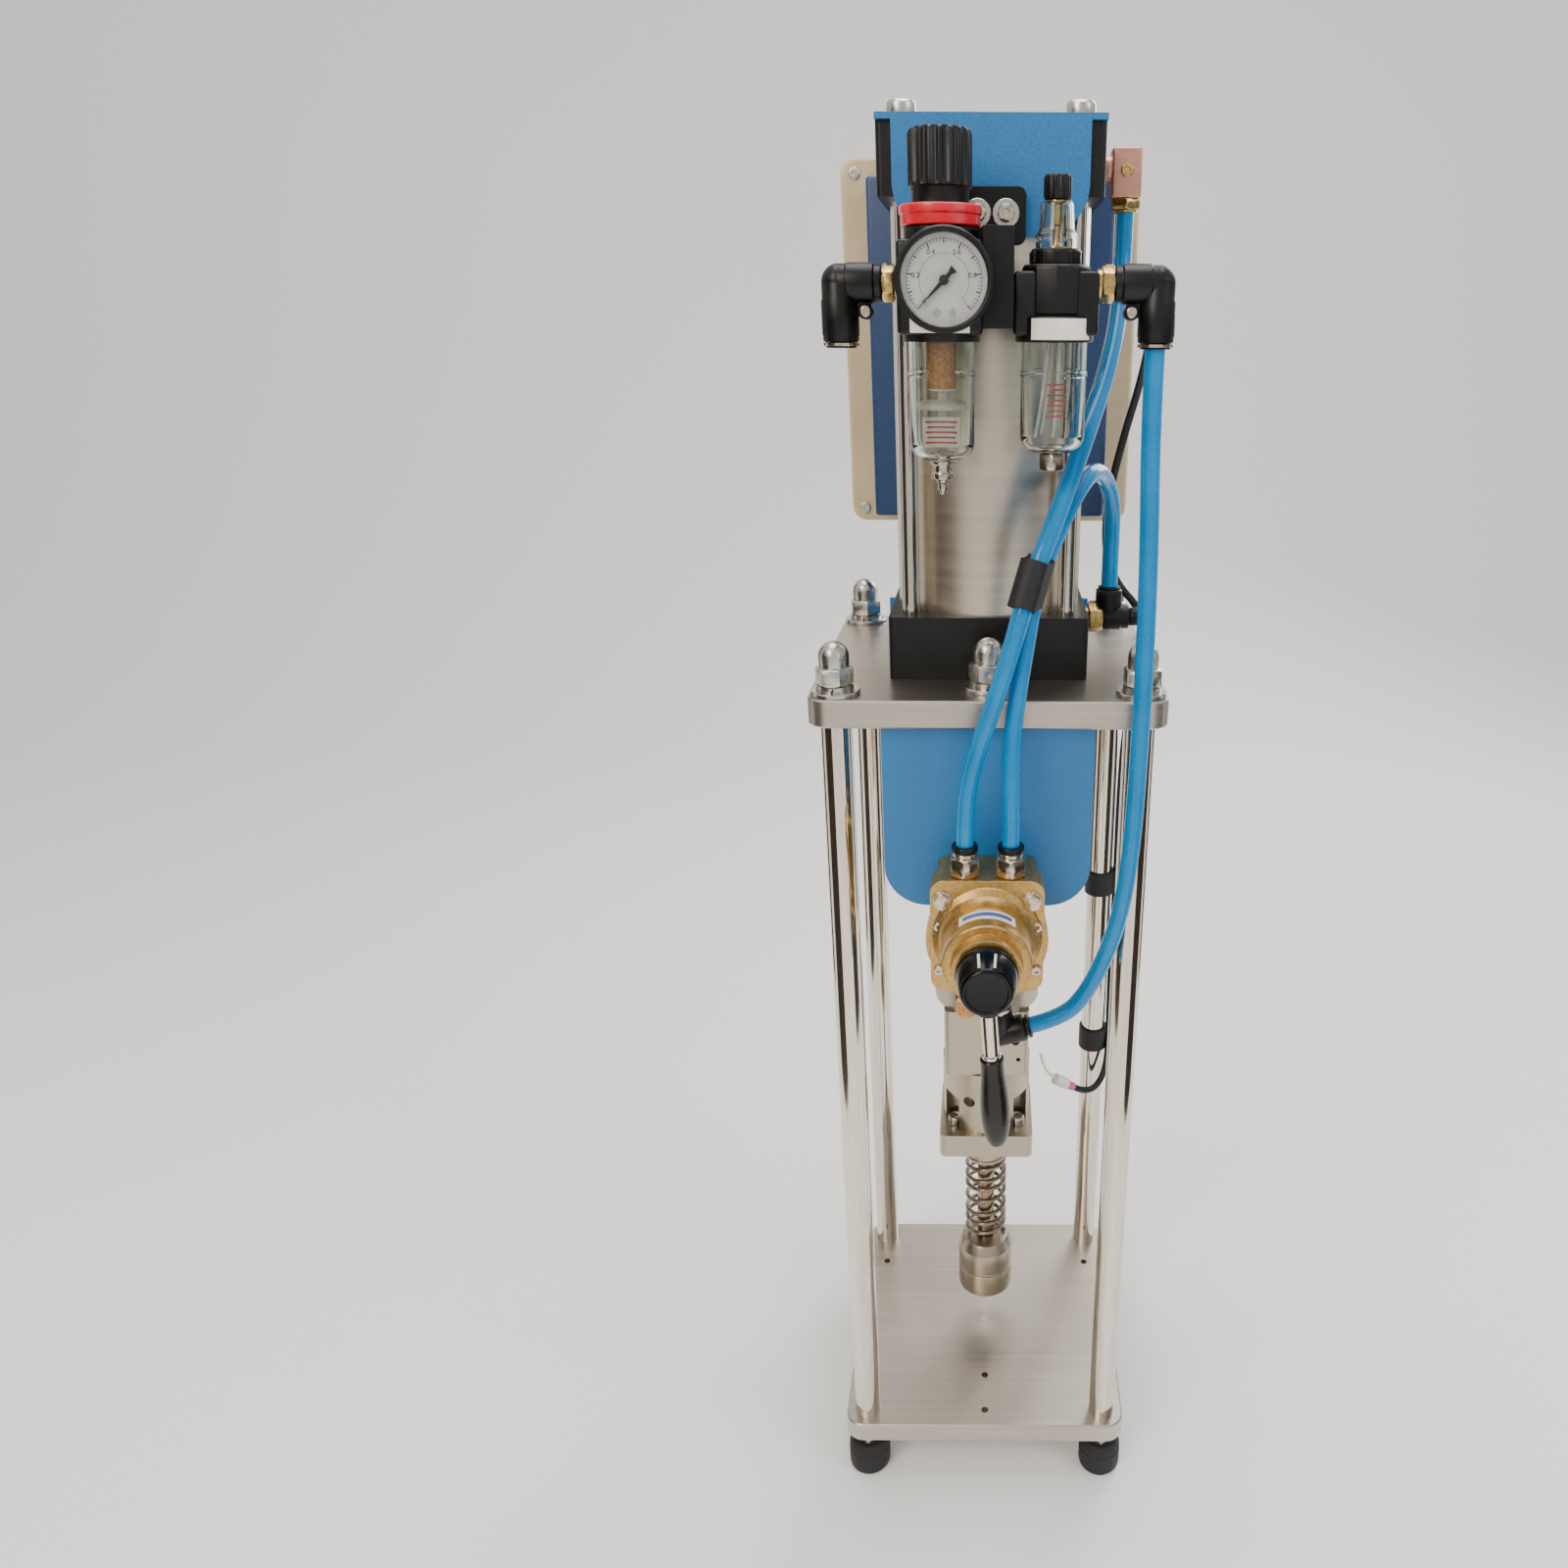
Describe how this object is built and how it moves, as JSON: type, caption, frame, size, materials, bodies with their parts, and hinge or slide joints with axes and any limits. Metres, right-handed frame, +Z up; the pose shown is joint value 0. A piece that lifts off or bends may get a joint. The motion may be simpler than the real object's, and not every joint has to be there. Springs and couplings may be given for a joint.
{
  "type": "four-column pneumatic bench press",
  "caption": "Bench press with a tie-rod air cylinder on columns, a sprung plunger over a work table, a hand-lever valve and a filter, regulator and lubricator set.",
  "frame": {"origin": "where the ram axis meets the top face of the work table", "axes": "+Z up along the ram, -Y towards the operator, +X to the operator's right"},
  "size_m": [0.2083, 0.311, 0.8885],
  "materials": {
    "brushed_plate": "brushed",
    "chrome_steel": "polished",
    "zinc_steel": "zinc plated",
    "black_rubber": "matt",
    "black_anodised": "satin",
    "barrel_aluminium": "brushed",
    "nickel_brass": "machined",
    "red_plastic": "glossy",
    "blue_paint": "powder coat",
    "gold_casting": "sand-cast and painted",
    "black_plastic": "satin",
    "clear_plastic": "clear",
    "filter_media": "sintered",
    "white_enamel": "matt",
    "blue_hose": "glossy",
    "cream_paint": "satin"
  },
  "bodies": {
    "frame": {"acorn_nuts": "zinc_steel", "assembly_screws": "zinc_steel", "barrel": "barrel_aluminium", "base_plate": "brushed_plate", "cable_connector": "white_enamel", "column_washers": "zinc_steel", "columns": "chrome_steel", "enclosure_back": "cream_paint", "enclosure_box": "blue_paint", "filter_bowl": "clear_plastic", "filter_element": "filter_media", "flow_control": "black_anodised", "gauge_case": "black_anodised", "gauge_dial": "white_enamel", "gauge_lens": "clear_plastic", "hex_nuts": "zinc_steel", "lock_ring": "red_plastic", "lower_cap": "black_anodised", "lower_port_hose": "blue_hose", "lubricator_body": "black_anodised", "lubricator_bowl": "clear_plastic", "pipe_nipples": "nickel_brass", "port_elbow": "nickel_brass", "push_in_elbows": "black_anodised", "rear_bracket": "blue_paint", "regulator_body": "black_anodised", "rod_bush": "nickel_brass", "rubber_feet": "black_rubber", "sensor_cable": "black_plastic", "set_bracket": "blue_paint", "sight_dome": "clear_plastic", "supply_hose": "blue_hose", "tape_wraps": "black_rubber", "tee_bracket": "black_anodised", "tie_rods": "chrome_steel", "top_plate": "brushed_plate", "upper_cap": "black_anodised", "upper_port_hose": "blue_hose", "valve_body": "gold_casting", "valve_bracket": "blue_paint", "valve_cover": "gold_casting", "valve_fittings": "nickel_brass"},
    "ram": {"piston_rod": "chrome_steel", "piston": "barrel_aluminium", "piston_seals": "black_rubber", "head_block": "barrel_aluminium", "flange_plate": "barrel_aluminium", "flange_screws": "zinc_steel", "guide_collar": "nickel_brass"},
    "plunger": {"plunger_rod": "chrome_steel", "plunger_spring": "zinc_steel", "plunger_cup": "barrel_aluminium"},
    "lever": {"lever_hub": "black_plastic", "lever_rod": "chrome_steel", "lever_grip": "black_plastic"},
    "pressure_knob": {"regulator_knob": "black_anodised"},
    "drip_adjuster": {"drip_knob": "black_anodised"},
    "flow_adjuster": {"flow_screw": "nickel_brass"},
    "needle": {"gauge_needle": "zinc_steel"},
    "drain": {"drain_pin": "nickel_brass"}
  },
  "joints": [
    {"name": "ram_slide", "type": "slide", "parent": "frame", "child": "ram", "axis": [0, 0, 1], "range_m": [0, 0.15]},
    {"name": "plunger_slide", "type": "slide", "parent": "ram", "child": "plunger", "axis": [0, 0, 1], "range_m": [0, 0.03], "stiffness_N_per_m": 2000, "springref_m": -0.005, "deforming": ["plunger_spring"]},
    {"name": "lever_turn", "type": "hinge", "parent": "frame", "child": "lever", "pos_m": [0, -0.177, 0.414], "axis": [0, 1, 0], "range_deg": [-45, 45]},
    {"name": "pressure_knob_turn", "type": "hinge", "parent": "frame", "child": "pressure_knob", "pos_m": [-0.0235, -0.1, 0.8], "axis": [0, 0, 1], "continuous": true},
    {"name": "drip_knob_turn", "type": "hinge", "parent": "frame", "child": "drip_adjuster", "pos_m": [0.031, -0.1, 0.79], "axis": [0, 0, 1], "continuous": true},
    {"name": "flow_screw_turn", "type": "hinge", "parent": "frame", "child": "flow_adjuster", "pos_m": [0.09, 0, 0.568], "axis": [1, 0, 0], "continuous": true},
    {"name": "needle_turn", "type": "hinge", "parent": "frame", "child": "needle", "pos_m": [-0.0208, -0.135, 0.752], "axis": [0, 1, 0], "range_deg": [0, 270], "stiffness_Nm_per_rad": 0.001},
    {"name": "drain_push", "type": "slide", "parent": "frame", "child": "drain", "axis": [0, 0, 1], "range_m": [0, 0.002], "stiffness_N_per_m": 400, "springref_m": -0.001}
  ]
}
